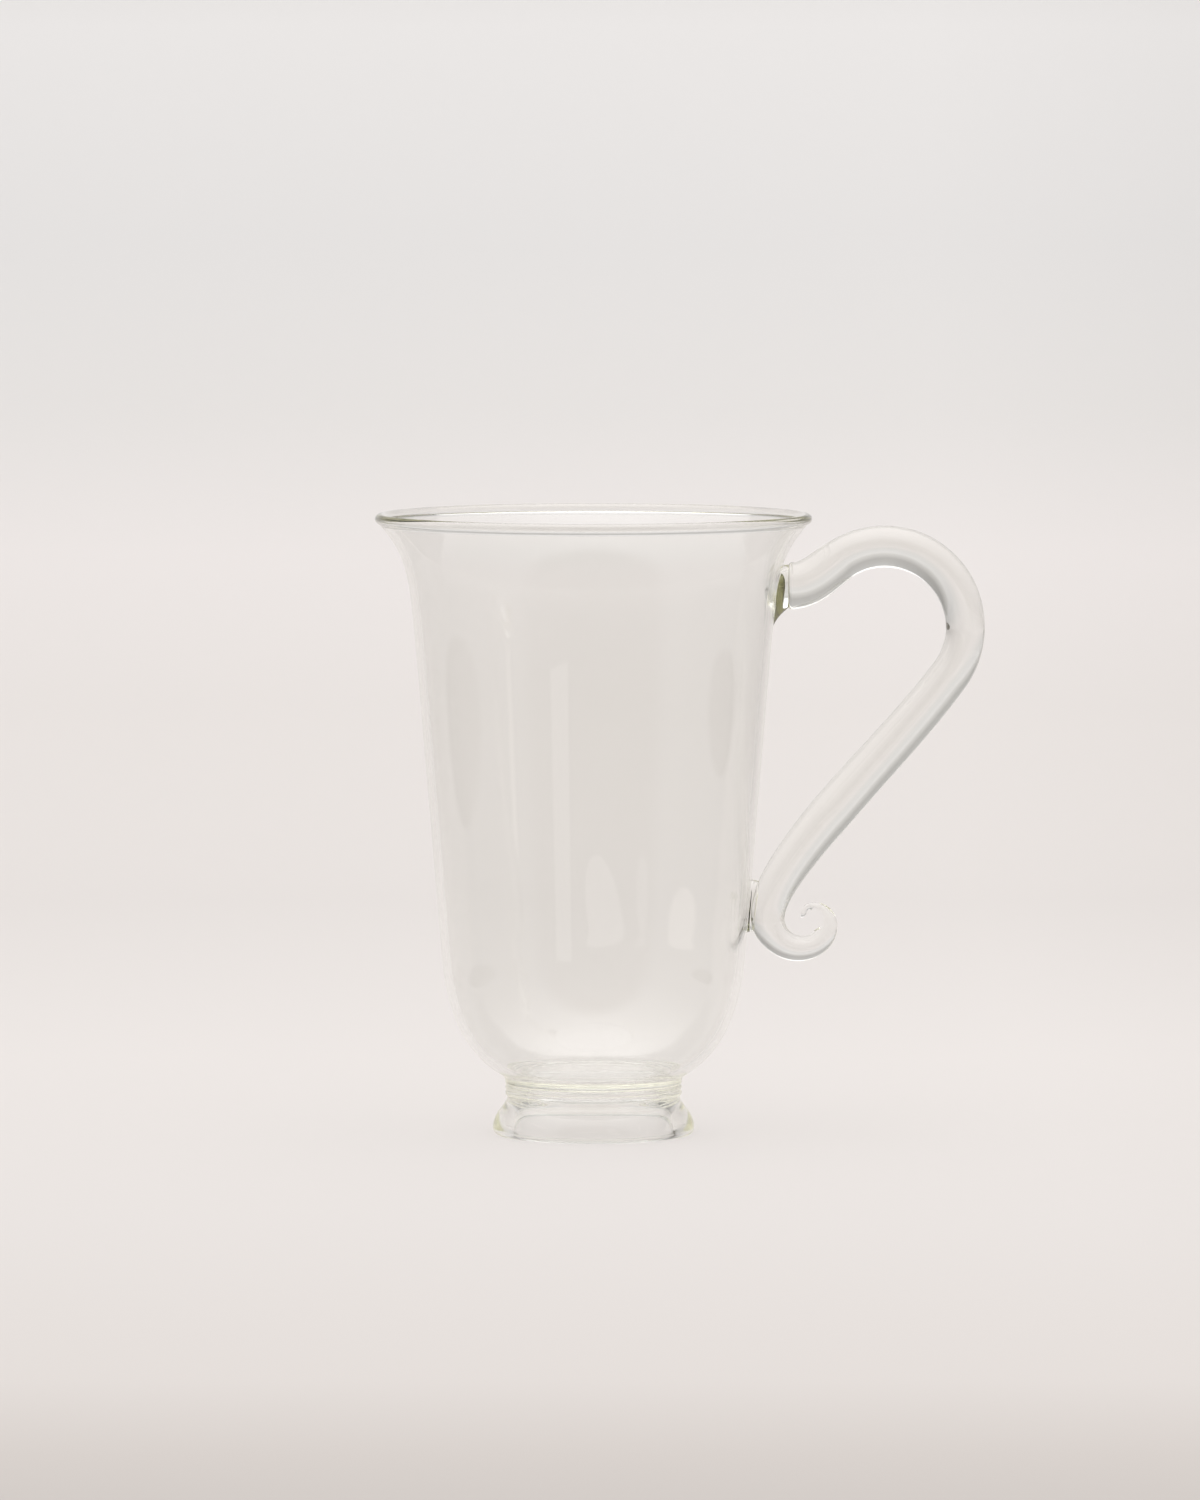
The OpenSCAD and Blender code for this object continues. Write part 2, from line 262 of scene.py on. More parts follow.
def bowl_outlines():
    """Four outlines of the bowl: its outside from the seat up, its bead, its inside from the floor up, and
    once more its outside, from bottom to bead, to measure from."""
    s = sizes("mug_bowl")
    seat = BOWL_BOX[0].z / MM
    top = BOWL_BOX[1].z / MM
    neck_r = sizes("mug_neck").width / MM / 2
    fillet_r, wall, bead_r = s.fillet / MM, s.wall / MM, s.bead / MM / 2
    seat_round = fillet_r * SEAT_ROUND
    edge = arc(Vector((neck_r - seat_round, seat + seat_round)), seat_round, -90, 0, BOWL_STEPS["seat"])
    lean = math.degrees(s.bottom)
    hollow_c = Vector((neck_r + fillet_r, seat + seat_round))
    fillet = arc(hollow_c, fillet_r, 180, 180 - lean, BOWL_STEPS["fillet"])
    belly = Vector((s.belly / MM / 2, seat + s.belly_rise / MM))
    waist = Vector((s.waist / MM / 2, top - s.waist_drop / MM))
    wall_lean = math.atan2(waist.x - belly.x, waist.y - belly.y)
    bead_c = Vector((s.rim / MM / 2 - bead_r, top - bead_r))
    flare = math.degrees(s.flare)
    bite = math.degrees(math.acos(wall / 2 / bead_r))
    bead = arc(bead_c, bead_r, -flare - bite, 180 - flare + bite, BOWL_STEPS["bead"])
    start = fillet[-1]
    rise = belly.y - start.y
    shell = [start]
    shell += cubic(
        start,
        start + leaning(s.bottom) * BOTTOM_PULL * rise,
        belly - leaning(wall_lean) * BELLY_PULL * rise,
        belly,
        BOWL_STEPS["bottom"],
    )
    shell += [belly.lerp(waist, i / BOWL_STEPS["wall"]) for i in range(1, BOWL_STEPS["wall"] + 1)]
    rise = bead[0].y - waist.y
    shell += cubic(
        waist,
        waist + leaning(wall_lean) * WAIST_PULL * rise,
        bead[0] - leaning(s.flare) * FLARE_PULL * rise,
        bead[0],
        BOWL_STEPS["flare"],
    )
    inner = []
    for i in range(len(shell) - 1):
        way = leaning(s.bottom) if i == 0 else heading(shell, i)
        inner.append(shell[i] - wall * outward(way))
    floor = seat + s.floor / MM
    round_r = (inner[0].y - floor) / (1 - math.sin(s.bottom))
    round_c = Vector((inner[0].x - round_r * math.cos(s.bottom), floor + round_r))
    round_off = arc(round_c, round_r, -90, -lean, BOWL_STEPS["floor"])
    return edge + fillet[1:] + shell[1:-1], bead, round_off[:-1] + inner, shell


def core_radius():
    """Radius of the neck between its ridges, in mm."""
    return (sizes("mug_neck").width / 2 - sizes("mug_neck").groove) / MM


def bore_radius():
    """Radius of the foot's bore at the neck, in mm."""
    return core_radius() - sizes("mug_foot").wall / MM


# How far the foot's curves keep the direction of their ends, as shares of their drop
NECK_PULL, LIP_PULL = 0.29, 0.5
# The rounding of the lip's inner edge, as a share of its thickness
LIP_ROUND = 0.2
FOOT_STEPS = {"side": 40, "edge": 12, "lip": 8}
RIDGE_STEPS = 16


def foot_outline():
    """The foot's closed outline: from the neck down its outside, round the lip and up its bore."""
    s = sizes("mug_foot")
    top = FOOT_BOX[1].z / MM - SEAM
    foot_r, edge, lip = s.width / MM / 2, s.edge / MM, s.lip / MM
    core, bore = core_radius(), bore_radius()
    drop = top - edge
    side = [Vector((core, top))]
    side += cubic(
        side[0],
        Vector((core, top - NECK_PULL * drop)),
        Vector((foot_r, edge + LIP_PULL * drop)),
        Vector((foot_r, edge)),
        FOOT_STEPS["side"],
    )
    side += arc(Vector((foot_r - edge, edge)), edge, 0, -90, FOOT_STEPS["edge"])[1:]
    hollow_r = foot_r - lip
    small = lip * LIP_ROUND
    side += arc(Vector((hollow_r + small, small)), small, -90, -180, FOOT_STEPS["lip"])
    rise = top - small
    side += cubic(
        side[-1],
        Vector((hollow_r, small + LIP_PULL * rise)),
        Vector((bore, top - NECK_PULL * rise)),
        Vector((bore, top)),
        FOOT_STEPS["side"],
    )
    return side


def neck_outline():
    """The neck ring's ridges from the foot up to the bowl."""
    s = sizes("mug_neck")
    low, high = NECK_BOX[0].z / MM, NECK_BOX[1].z / MM
    pitch = (high - low) / s.ridges
    groove, radius = s.groove / MM, s.width / MM / 2
    bulge = ((pitch / 2) ** 2 + groove**2) / (2 * groove)
    half = math.degrees(math.asin(pitch / 2 / bulge))
    made = []
    for i in range(s.ridges):
        middle = Vector((radius - bulge, low + pitch * (i + 0.5)))
        ridge = arc(middle, bulge, -half, half, RIDGE_STEPS)
        made += ridge if i == 0 else ridge[1:]
    made[0].y, made[-1].y = low + SEAM, high - SEAM
    return made


class Rod:
    """The rod's middle line and thickness, worked out once from the sizes. All lengths in mm."""

    THICK = {
        "crook": [(0, 1), (0.35, 0.99), (0.6, 0.95), (0.8, 0.914), (1, 0.9625)],
        "slope": [(0, 0.9625), (0.5, 1.043), (1, 0.8)],
        "scroll": [
            (0, 0.8),
            (0.12, 0.665),
            (0.27, 0.58),
            (0.42, 0.52),
            (0.57, 0.453),
            (0.68, 0.286),
            (0.76, 0.208),
            (0.84, 0.14),
            (0.93, 0.182),
            (1, 0.209),
        ],
    }
    SCROLL_START = 188
    # The flat end, the swell behind it and the round between them, as shares of the rod's radius
    FLAT, SWELL, ROUND = 0.88, 1.125, 0.22
    # How much of the end the collar covers
    COVER = 1.04
    # How far the rod's curves keep the direction of their ends, as shares of their length
    ENTRY_PULL, SLOPE_PULL, SCROLL_PULL = 0.38, 0.335, 0.16
    # The rod's radius where it lies against the lower weld, as a share of the rod's radius
    PRESSED = 0.875
    # How far the thickness is smoothed to both sides, as a share of a part's length
    SMOOTHED = 0.03
    # How far out from the face and up from the scroll's middle the rod can still reach the lower weld, in its
    # radii, and how many places between two stations are tried
    NEAR, ABOVE, TRIES = 2.2, 3, 4
    # A surface whose normal's x is above this doesn't face the wall
    TURNED_AWAY = -0.3
    STEPS = {"end": 12, "entry": 16, "crook": 56, "slope": 48, "scroll": 104, "tip": 9}

    def __init__(self, wall):
        s, w = sizes("mug_handle"), sizes("mug_weld")
        top = BOWL_BOX[1].z / MM
        self.r = s.rod / MM / 2
        weld_z = top - s.weld_drop / MM
        self.face = Vector((wall(weld_z) + w.collar / MM, weld_z))
        self.stations = []
        steps = self.STEPS
        end = self.r * self.ROUND
        for i in range(steps["end"]):
            a = math.radians(90 * i / steps["end"])
            share = self.FLAT + (self.SWELL - self.FLAT) * math.sin(a)
            self.put(self.face + Vector((end * (1 - math.cos(a)), 0)), share)

        start = self.face + Vector((end, 0))
        crook_z = top - s.drop / MM
        centre = Vector((wall(crook_z) + s.reach / MM, crook_z))
        crook_r = s.crook / MM
        first, last = 90 + math.degrees(s.entry), -math.degrees(s.slope)
        into, out = centre + crook_r * turned(first), centre + crook_r * turned(last)
        lead = self.ENTRY_PULL * (into.x - start.x)
        entry = [start] + cubic(
            start,
            start + Vector((lead, 0)),
            into - lead * turned(first - 90),
            into,
            steps["entry"],
        )
        for i, p in enumerate(entry[:-1]):
            self.put(p, self.SWELL + (1 - self.SWELL) * i / steps["entry"])
        for i in range(steps["crook"]):
            t = i / steps["crook"]
            self.put(centre + crook_r * turned(first + (last - first) * t), self.blended("crook", t))

        turn = math.degrees(s.scroll_turn)
        wide, tip_r = s.scroll / MM, s.scroll_tip / MM
        scroll_z = s.scroll_height / MM
        lean = math.atan2(wall(scroll_z + 1) - wall(scroll_z), 1)
        beside = (w.pad / MM + self.r * self.PRESSED + wide) / math.cos(lean)
        self.scroll_c = Vector((wall(scroll_z) + beside, scroll_z))
        loss = wide - tip_r

        def spiral(t):
            return self.scroll_c + (wide - loss * t) * turned(self.SCROLL_START + turn * t)

        def spiral_way(t):
            r = wide - loss * t
            inward = math.degrees(math.atan(loss / r / math.radians(turn)))
            return turned(self.SCROLL_START + turn * t + 90 + inward)

        reach = (spiral(0) - out).length
        slope = [out] + cubic(
            out,
            out + self.SLOPE_PULL * reach * turned(last - 90),
            spiral(0) - self.SCROLL_PULL * reach * spiral_way(0),
            spiral(0),
            steps["slope"],
        )
        for i, p in enumerate(slope[:-1]):
            self.put(p, self.blended("slope", i / steps["slope"]))
        for i in range(steps["scroll"] + 1):
            self.put(spiral(i / steps["scroll"]), self.blended("scroll", i / steps["scroll"]))
        tip = self.blended("scroll", 1)
        for i in range(1, steps["tip"]):
            a = math.radians(90 * i / steps["tip"])
            self.put(spiral(1) + self.r * tip * math.sin(a) * spiral_way(1), tip * math.cos(a))

    def put(self, place, share):
        """Adds a station: its place and the rod's radius there."""
        self.stations.append((place, self.r * share))

    def blended(self, part, t):
        """The rod's thickness share along one part, smoothed over its neighbours."""
        table, off = self.THICK[part], self.SMOOTHED
        return (lookup(t - off, table) + 2 * lookup(t, table) + lookup(t + off, table)) / 4

    def end_at(self, y, z):
        """How far from the axis the rod's rounded end lies at a place under the collar."""
        share = math.hypot(y, z - self.face.y) / self.r
        rise = max(0.0, min(1.0, (share - self.FLAT) / (self.SWELL - self.FLAT)))
        return self.face.x + self.r * self.ROUND * (1 - math.sqrt(1 - rise**2))

    def back(self, y, z):
        """How far from the axis the rod's side facing the wall lies at a place, or None beside the rod."""
        found = None
        for (p, r), (q, u) in zip(self.stations, self.stations[1:]):
            if q.x > self.face.x + self.r * self.NEAR or p.y > self.scroll_c.y + self.ABOVE * self.r:
                continue
            for k in range(self.TRIES):
                c, radius = p.lerp(q, k / self.TRIES), r + (u - r) * k / self.TRIES
                rest = radius**2 - y * y - (z - c.y) ** 2
                if rest > 0:
                    x = c.x - math.sqrt(rest)
                    found = x if found is None else min(found, x)
        return found


def wall_lookup():
    """A function that gives the bowl's outer radius at a height."""
    table = [(p.y, p.x) for p in bowl_outlines()[3]]
    return lambda z: lookup(z, table)


def against(wall):
    """A function that gives how far from the axis a weld starts at a (y, z) place on the wall."""
    return lambda q: math.sqrt(wall(q.y) ** 2 - q.x**2) + SEAM


def collar_footprint():
    """The upper weld's outline on the wall, as (y, z) points from its top round to the run's end and back."""
    s, w, h = sizes("mug_handle"), sizes("mug_weld"), BOWL_BOX[1].z / MM
    middle = h - (s.weld_drop + w.sag) / MM
    r = s.rod / MM / 2
    wide = r * Rod.COVER + w.spread / MM
    deep = r + w.run / MM
    made = []
    for i in range(COLLAR_POINTS):
        a = math.tau * i / COLLAR_POINTS
        if math.cos(a) >= 0:
            made.append(Vector((wide * math.sin(a), middle + r * Rod.COVER * math.cos(a))))
        else:
            pinch = abs(math.sin(a)) ** 3
            made.append(Vector((math.copysign(wide * pinch, math.sin(a)), middle + deep * math.cos(a))))
    return made


def pad_footprint(grow):
    """The lower weld's outline on the wall: an upright slot with round ends, grown all round by some mm."""
    s, w = sizes("mug_handle"), sizes("mug_weld")
    middle = (s.scroll_height + w.pad_rise) / MM
    half = w.pad_width / MM / 2 + grow
    straight = (w.pad_height - w.pad_width) / MM / 2
    made = []
    for i in range(PAD_POINTS):
        a = math.tau * i / PAD_POINTS
        shift = math.copysign(straight, math.cos(a))
        made.append(Vector((half * math.sin(a), middle + half * math.cos(a) + shift)))
    return made


def depth_in(outline, point):
    """How deep a point lies inside a closed outline, in mm. Below zero outside."""
    inside, near = False, math.inf
    for a, b in zip(outline, outline[1:] + outline[:1]):
        if (a.y > point.y) != (b.y > point.y) and point.x < a.x + (b.x - a.x) * (point.y - a.y) / (b.y - a.y):
            inside = not inside
        side = b - a
        t = max(0.0, min(1.0, (point - a).dot(side) / max(side.length_squared, 1e-9)))
        near = min(near, (point - a - side * t).length)
    return near if inside else -near


# Meshes


def vertex_at(bm, point):
    """A vertex of an outline, given in mm as (radius, height)."""
    return bm.verts.new((point.x * MM, 0, point.y * MM))


def revolved(outline):
    """A bmesh of an outline spun round the mug's axis, poles and seam closed."""
    bm = bmesh.new()
    verts = [vertex_at(bm, p) for p in outline]
    edges = [bm.edges.new(pair) for pair in zip(verts, verts[1:])]
    bmesh.ops.spin(
        bm,
        geom=verts + edges,
        cent=(0, 0, 0),
        axis=(0, 0, 1),
        angle=math.tau,
        steps=TURNS,
        use_merge=True,
    )
    bmesh.ops.remove_doubles(bm, verts=bm.verts[:], dist=MERGE * MM)
    bmesh.ops.recalc_face_normals(bm, faces=bm.faces[:])
    return bm


def mark_joint(bm, fused):
    """Writes the joint attribute: above 0.5 where fused(face, corner) says that glass is joined to glass."""
    layer = bm.loops.layers.float.new(JOINT)
    for f in bm.faces:
        for corner in f.loops:
            corner[layer] = fused(f, corner)


def flat_at(height, inside=0.0):
    """A joint test for faces that lie level at a height in mm, outside a radius in mm."""

    def test(f, corner):
        middle = f.calc_center_median() / MM
        level = abs(f.normal.z) > LEVEL and abs(middle.z - height) < FLUSH
        return 1.0 if level and math.hypot(middle.x, middle.y) > inside else 0.0

    return test


def joint_value(depth, growth):
    """The joint attribute at a depth in mm inside a joint's edge: 0.5 on the edge, growing to 1 inwards."""
    return min(1.0, max(0.0, 0.5 + depth * growth))


# How fast the joint attribute grows inwards, per mm: at the welds' soft edges and the rod's sharp end
SOFT_EDGE, SHARP_EDGE = 0.5, 4
# How hollow the side of a lump of melted glass is where it hangs down
HOLLOW = 0.6
# The rings of a lump's two closed ends, as shares of their outlines
END_SHARES = (0.02, 0.25, 0.5, 0.75, 0.92)


def patch(back, front, back_x, front_x, rings=14):
    """A lump of glass between the wall and the rod. Both outlines hold (y, z) points, and both functions give
    x at a point. Its side runs straight from one to the other, but in a hollow curve where it hangs down."""
    count = len(back)
    mid_back, mid_front = (sum(o, Vector((0, 0))) / count for o in (back, front))
    loops = [[(back_x(q), q) for q in [mid_back.lerp(p, k) for p in back]] for k in END_SHARES]
    for i in range(rings + 1):
        t = i / rings
        ring = []
        for q, f in zip(back, front):
            hollow = 1 + HOLLOW * max(0.0, (mid_front - f).normalized().y) ** 2
            ring.append((back_x(q) + (front_x(f) - back_x(q)) * t**hollow, q.lerp(f, t)))
        loops.append(ring)
    loops += [[(front_x(q), q) for q in [mid_front.lerp(p, k) for p in front]] for k in reversed(END_SHARES)]
    bm = bmesh.new()
    ring = bmesh.ops.create_circle(bm, cap_ends=True, segments=count, radius=1.0, calc_uvs=False)["verts"]
    caps = set(bm.faces)
    edges = bm.edges[:]
    for j, places in enumerate(loops):
        if j > 0:
            grown = bmesh.ops.extrude_edge_only(bm, edges=edges)["geom"]
            new = {v for v in grown if isinstance(v, bmesh.types.BMVert)}
            ring = [next(e.other_vert(v) for e in v.link_edges if e.other_vert(v) in new) for v in ring]
            edges = [e for e in grown if isinstance(e, bmesh.types.BMEdge) and new.issuperset(e.verts)]
            if j <= len(END_SHARES) or j > len(END_SHARES) + rings:
                caps.update(f for f in grown if isinstance(f, bmesh.types.BMFace))
        for v, (x, q) in zip(ring, places):
            v.co = Vector((x, q.x, q.y)) * MM
    caps.update(bmesh.ops.edgeloop_fill(bm, edges=edges)["faces"])
    bmesh.ops.recalc_face_normals(bm, faces=bm.faces[:])
    mark_joint(bm, lambda f, corner: 1.0 if f in caps else 0.0)
    return bm


def settle(bm, name, node, material):
    """Makes the finished object of a bmesh: smooth, at the origin, on the mug in place of its CAD node."""
    mesh = bpy.data.meshes.new(name)
    bm.normal_update()
    bm.to_mesh(mesh)
    bm.free()
    mesh.shade_smooth()
    obj = bpy.data.objects.new(name, mesh)
    bpy.context.scene.collection.objects.link(obj)
    mesh.materials.append(material)
    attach(obj, "root")
    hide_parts(node)
    return obj


# Materials


def linear(code):
    """An sRGB hex value as a linear colour."""
    made = []
    for i in (0, 2, 4):
        c = int(code[i : i + 2], 16) / 255
        made.append(c / 12.92 if c <= 0.04045 else ((c + 0.055) / 1.055) ** 2.4)
    return (*made, 1.0)


def add_node(tree, kind, settings=None, links=None):
    """Adds a node with its settings and links. A setting named like a socket sets it, the rest the node."""
    node = tree.nodes.new(kind)
    for key, value in (settings or {}).items():
        if isinstance(key, int) or key in node.inputs:
            node.inputs[key].default_value = value
        else:
            setattr(node, key, value)
    for key, socket in (links or {}).items():
        tree.links.new(socket, node.inputs[key])
    return node


def new_material(name):
    """An empty node material and its tree."""
    mat = bpy.data.materials.new(name)
    mat.use_nodes = True
    mat.node_tree.nodes.clear()
    return mat, mat.node_tree


# The blown wall's ripples: how far apart and how high they are, in mm
RIPPLE, RIPPLE_HEIGHT = 20, 0.02
# How sharply the faint shadow of clear glass keeps to its edges, which light only grazes
GRAZE = 0.04


def fused_glass():
    """Borosilicate glass, blown and fire-polished: mirror smooth, with the slow ripple of hand work. Thick
    stretches turn grey-green. Where two pieces are fused there is no surface, and light crosses unbent."""
    colours = sizes("mug_studio")
    name = "Borosilicate Glass"
    if name in bpy.data.materials:
        return bpy.data.materials[name]
    mat, tree = new_material(name)
    place = add_node(tree, "ShaderNodeTexCoord")
    ripple = add_node(
        tree,
        "ShaderNodeTexNoise",
        {"Scale": 1 / (RIPPLE * MM), "Detail": 1.0, "Roughness": 0.4},
        {"Vector": place.outputs["Object"]},
    )
    bump = add_node(
        tree,
        "ShaderNodeBump",
        {"Strength": 0.3, "Distance": RIPPLE_HEIGHT * MM},
        {"Height": ripple.outputs["Fac"]},
    )
    glass = add_node(
        tree,
        "ShaderNodeBsdfPrincipled",
        {"Base Color": linear(colours.surface), "Roughness": 0.0, "IOR": 1.47, "Transmission Weight": 1.0},
        {"Normal": bump.outputs["Normal"]},
    )
    # Light on its way to the paper passes straight through, but less where it grazes the glass
    path = add_node(tree, "ShaderNodeLightPath")
    to_paper = add_node(
        tree,
        "ShaderNodeMath",
        {"operation": "MAXIMUM"},
        {0: path.outputs["Is Shadow Ray"], 1: path.outputs["Is Diffuse Ray"]},
    )
    facing = add_node(tree, "ShaderNodeLayerWeight", {"Blend": GRAZE})
    loss = add_node(
        tree,
        "ShaderNodeMath",
        {"operation": "MULTIPLY"},
        {0: facing.outputs["Facing"], 1: to_paper.outputs["Value"]},
    )
    passed = add_node(tree, "ShaderNodeMath", {"operation": "SUBTRACT", 0: 1.0}, {1: loss.outputs["Value"]})
    grey = add_node(
        tree,
        "ShaderNodeCombineColor",
        None,
        {"Red": passed.outputs["Value"], "Green": passed.outputs["Value"], "Blue": passed.outputs["Value"]},
    )
    clear = add_node(tree, "ShaderNodeBsdfTransparent", None, {"Color": grey.outputs["Color"]})
    joint = add_node(tree, "ShaderNodeAttribute", {"attribute_name": JOINT})
    fused = add_node(tree, "ShaderNodeMath", {"operation": "GREATER_THAN", 1: 0.5}, {0: joint.outputs["Fac"]})
    through = add_node(
        tree,
        "ShaderNodeMath",
        {"operation": "MAXIMUM"},
        {0: fused.outputs["Value"], 1: to_paper.outputs["Value"]},
    )
    seen = add_node(
        tree,
        "ShaderNodeMixShader",
        None,
        {0: through.outputs["Value"], 1: glass.outputs["BSDF"], 2: clear.outputs["BSDF"]},
    )
    depth = add_node(
        tree,
        "ShaderNodeVolumeAbsorption",
        {"Color": linear(colours.tint), "Density": colours.depth},
    )
    add_node(
        tree,
        "ShaderNodeOutputMaterial",
        None,
        {"Surface": seen.outputs["Shader"], "Volume": depth.outputs["Volume"]},
    )
    return mat


# Operators


class MUG_OT_bowl(bpy.types.Operator):
    """Blow the bell-shaped bowl with its flared mouth and beaded rim"""

    bl_idname = "mug.bowl"
    bl_label = "Bowl"

    def execute(self, context):
        outer, bead, inner, shell = bowl_outlines()
        seat = outer[0].y + SEAM
        outer[0].y = seat
        bore = bore_radius()
        loop = [Vector((0, seat)), Vector((bore, seat))] + outer + bead + inner[::-1]
        loop.append(Vector((0, loop[-1].y)))
        bm = revolved(loop)
        wall = wall_lookup()
        level = flat_at(seat, bore)
        marks = collar_footprint(), pad_footprint(PAD_FLARE)
        reach = max(abs(q.x) for m in marks for q in m) + MARGIN
        low = min(q.y for m in marks for q in m) - MARGIN
        high = max(q.y for m in marks for q in m) + MARGIN

        def fused(f, corner):
            place = corner.vert.co / MM
            if place.x < 0 or abs(place.y) > reach or not low < place.z < high:
                return level(f, corner)
            if abs(math.hypot(place.x, place.y) - wall(place.z)) > ON_WALL:
                return 0.0
            deepest = max(depth_in(m, Vector((place.y, place.z))) for m in marks)
            return joint_value(deepest, SOFT_EDGE)

        mark_joint(bm, fused)
        settle(bm, "blown_bowl", "bowl", fused_glass())
        return {"FINISHED"}


class MUG_OT_neck(bpy.types.Operator):
    """Wrap the neck ring and tool its ridges"""

    bl_idname = "mug.neck"
    bl_label = "Neck Ring"

    def execute(self, context):
        ridges = neck_outline()
        low, high = ridges[0].y, ridges[-1].y
        bore = bore_radius()
        bm = revolved([Vector((bore, low))] + ridges + [Vector((bore, high)), Vector((bore, low))])
        level = flat_at(low), flat_at(high)
        mark_joint(bm, lambda f, corner: max(test(f, corner) for test in level))
        settle(bm, "tooled_neck_ring", "neck_ring", fused_glass())
        return {"FINISHED"}


class MUG_OT_foot(bpy.types.Operator):
    """Flare the foot with its thick lip and open bore"""

    bl_idname = "mug.foot"
    bl_label = "Foot"

    def execute(self, context):
        side = foot_outline()
        bm = revolved(side + [side[0].copy()])
        mark_joint(bm, flat_at(side[0].y))
        settle(bm, "flared_foot", "foot", fused_glass())
        return {"FINISHED"}


class MUG_OT_handle(bpy.types.Operator):
    """Draw the rod into its crook, slope and scroll"""

    bl_idname = "mug.handle"
    bl_label = "Handle"

    def execute(self, context):
        rod = Rod(wall_lookup())
        places = [p for p, _ in rod.stations]
        bm = bmesh.new()
        made = bmesh.ops.create_circle(bm, cap_ends=True, segments=ROD_SIDES, radius=1.0, calc_uvs=False)
        ring = made["verts"]
        frames = []
        for i, (p, r) in enumerate(rod.stations):
            way = Vector((1, 0)) if i == 0 else heading(places, i)
            side = Vector((-way.y, way.x))
            x = p.x + (SEAM if i == 0 else 0)
            frames.append(
                Matrix(
                    (
                        (r * side.x * MM, 0, way.x, x * MM),
                        (0, r * MM, 0, 0),
                        (r * side.y * MM, 0, way.y, p.y * MM),
                        (0, 0, 0, 1),
                    )
                )
            )
        bmesh.ops.transform(bm, matrix=frames[0], verts=ring)
        edges = list({e for v in ring for e in v.link_edges})
        for old, new in zip(frames, frames[1:]):
            grown = bmesh.ops.extrude_edge_only(bm, edges=edges)["geom"]
            ring = [g for g in grown if isinstance(g, bmesh.types.BMVert)]
            edges = [e for e in grown if isinstance(e, bmesh.types.BMEdge) and set(ring).issuperset(e.verts)]
            bmesh.ops.transform(bm, matrix=new @ old.inverted(), verts=ring)
        bmesh.ops.edgeloop_fill(bm, edges=edges)
        bmesh.ops.recalc_face_normals(bm, faces=bm.faces[:])
        bm.normal_update()
        start = rod.face.x + SEAM
        slot = pad_footprint(0)
        low, high = min(q.y for q in slot) - MARGIN, max(q.y for q in slot) + MARGIN

        def fused(f, corner):
            place = corner.vert.co / MM
            if place.x < start + 2 * rod.r * rod.ROUND:
                depth = rod.r * rod.COVER - math.hypot(place.y, place.z - rod.face.y)
                return joint_value(depth, SHARP_EDGE)
            if not low < place.z < high or corner.vert.normal.x > rod.TURNED_AWAY:
                return 0.0
            return joint_value(depth_in(slot, Vector((place.y, place.z))), SOFT_EDGE)

        mark_joint(bm, fused)
        settle(bm, "drawn_handle", "handle", fused_glass())
        return {"FINISHED"}


class MUG_OT_upper_weld(bpy.types.Operator):
    """Melt the collar between rod and wall and let its glass run down the wall"""

    bl_idname = "mug.upper_weld"
    bl_label = "Upper Weld"

    def execute(self, context):
        wall = wall_lookup()
        rod = Rod(wall)
        back = collar_footprint()
        middle = Vector((0, rod.face.y))
        angles = [90 - 360 * i / COLLAR_POINTS for i in range(COLLAR_POINTS)]
        front = [middle + rod.r * rod.COVER * turned(a) for a in angles]
        bm = patch(back, front, against(wall), lambda q: rod.end_at(q.x, q.y) - SEAM)
        settle(bm, "upper_collar", "upper_weld", fused_glass())
        return {"FINISHED"}


class MUG_OT_lower_weld(bpy.types.Operator):
    """Press the thin pad between the rod and the wall above the scroll"""

    bl_idname = "mug.lower_weld"
    bl_label = "Lower Weld"

    def execute(self, context):
        wall = wall_lookup()
        rod = Rod(wall)
        back, front = pad_footprint(PAD_FLARE), pad_footprint(0)
        bm = patch(back, front, against(wall), lambda q: rod.back(q.x, q.y) - SEAM, rings=8)
        settle(bm, "lower_pad", "lower_weld", fused_glass())
        return {"FINISHED"}


# Studio

# The paper sweep, in metres: half its width, its front edge, its height, and the start and radius of its bend
SWEEP_HALF, SWEEP_FRONT, SWEEP_TOP = 1.6, -0.9, 1.3
BEND_START, BEND_R, BEND_STEPS = 0.55, 0.35, 24
# How the paper's colour runs up from the floor, away from the camera and across, as places in metres and hex:
# painted light and shade over the paper's own warm grey
PAPER_LIGHT_UP = (
    (0.04, "E7E2DF"),
    (0.08, "EDE8E6"),
    (0.12, "E8E5E3"),
    (0.17, "E9E7E6"),
    (0.235, "F1EFEE"),
    (0.28, "E4E2E0"),
    (0.45, "C6C4C2"),
    (SWEEP_TOP, "E0E0E0"),
)
PAPER_LIGHT_AWAY = (
    (SWEEP_FRONT, "A0A0A0"),
    (-0.46, "DFDDDB"),
    (-0.37, "ECEBEA"),
    (-0.15, "F3F3F3"),
    (0.15, "FAFAFA"),
    (0.55, "FAFAFA"),
    (0.7, "FFFFFF"),
    (0.9, "FFFFFF"),
)
PAPER_LIGHT_ACROSS = ((-SWEEP_HALF, "F0F0F0"), (0.1, "FFFFFF"), (0.5, "E8E8E8"), (SWEEP_HALF, "C4C4C4"))
# How much of the paper's look is its own glow. Tent and softbox light the rest, which keeps a soft shadow
GLOW_SHARE = 0.6

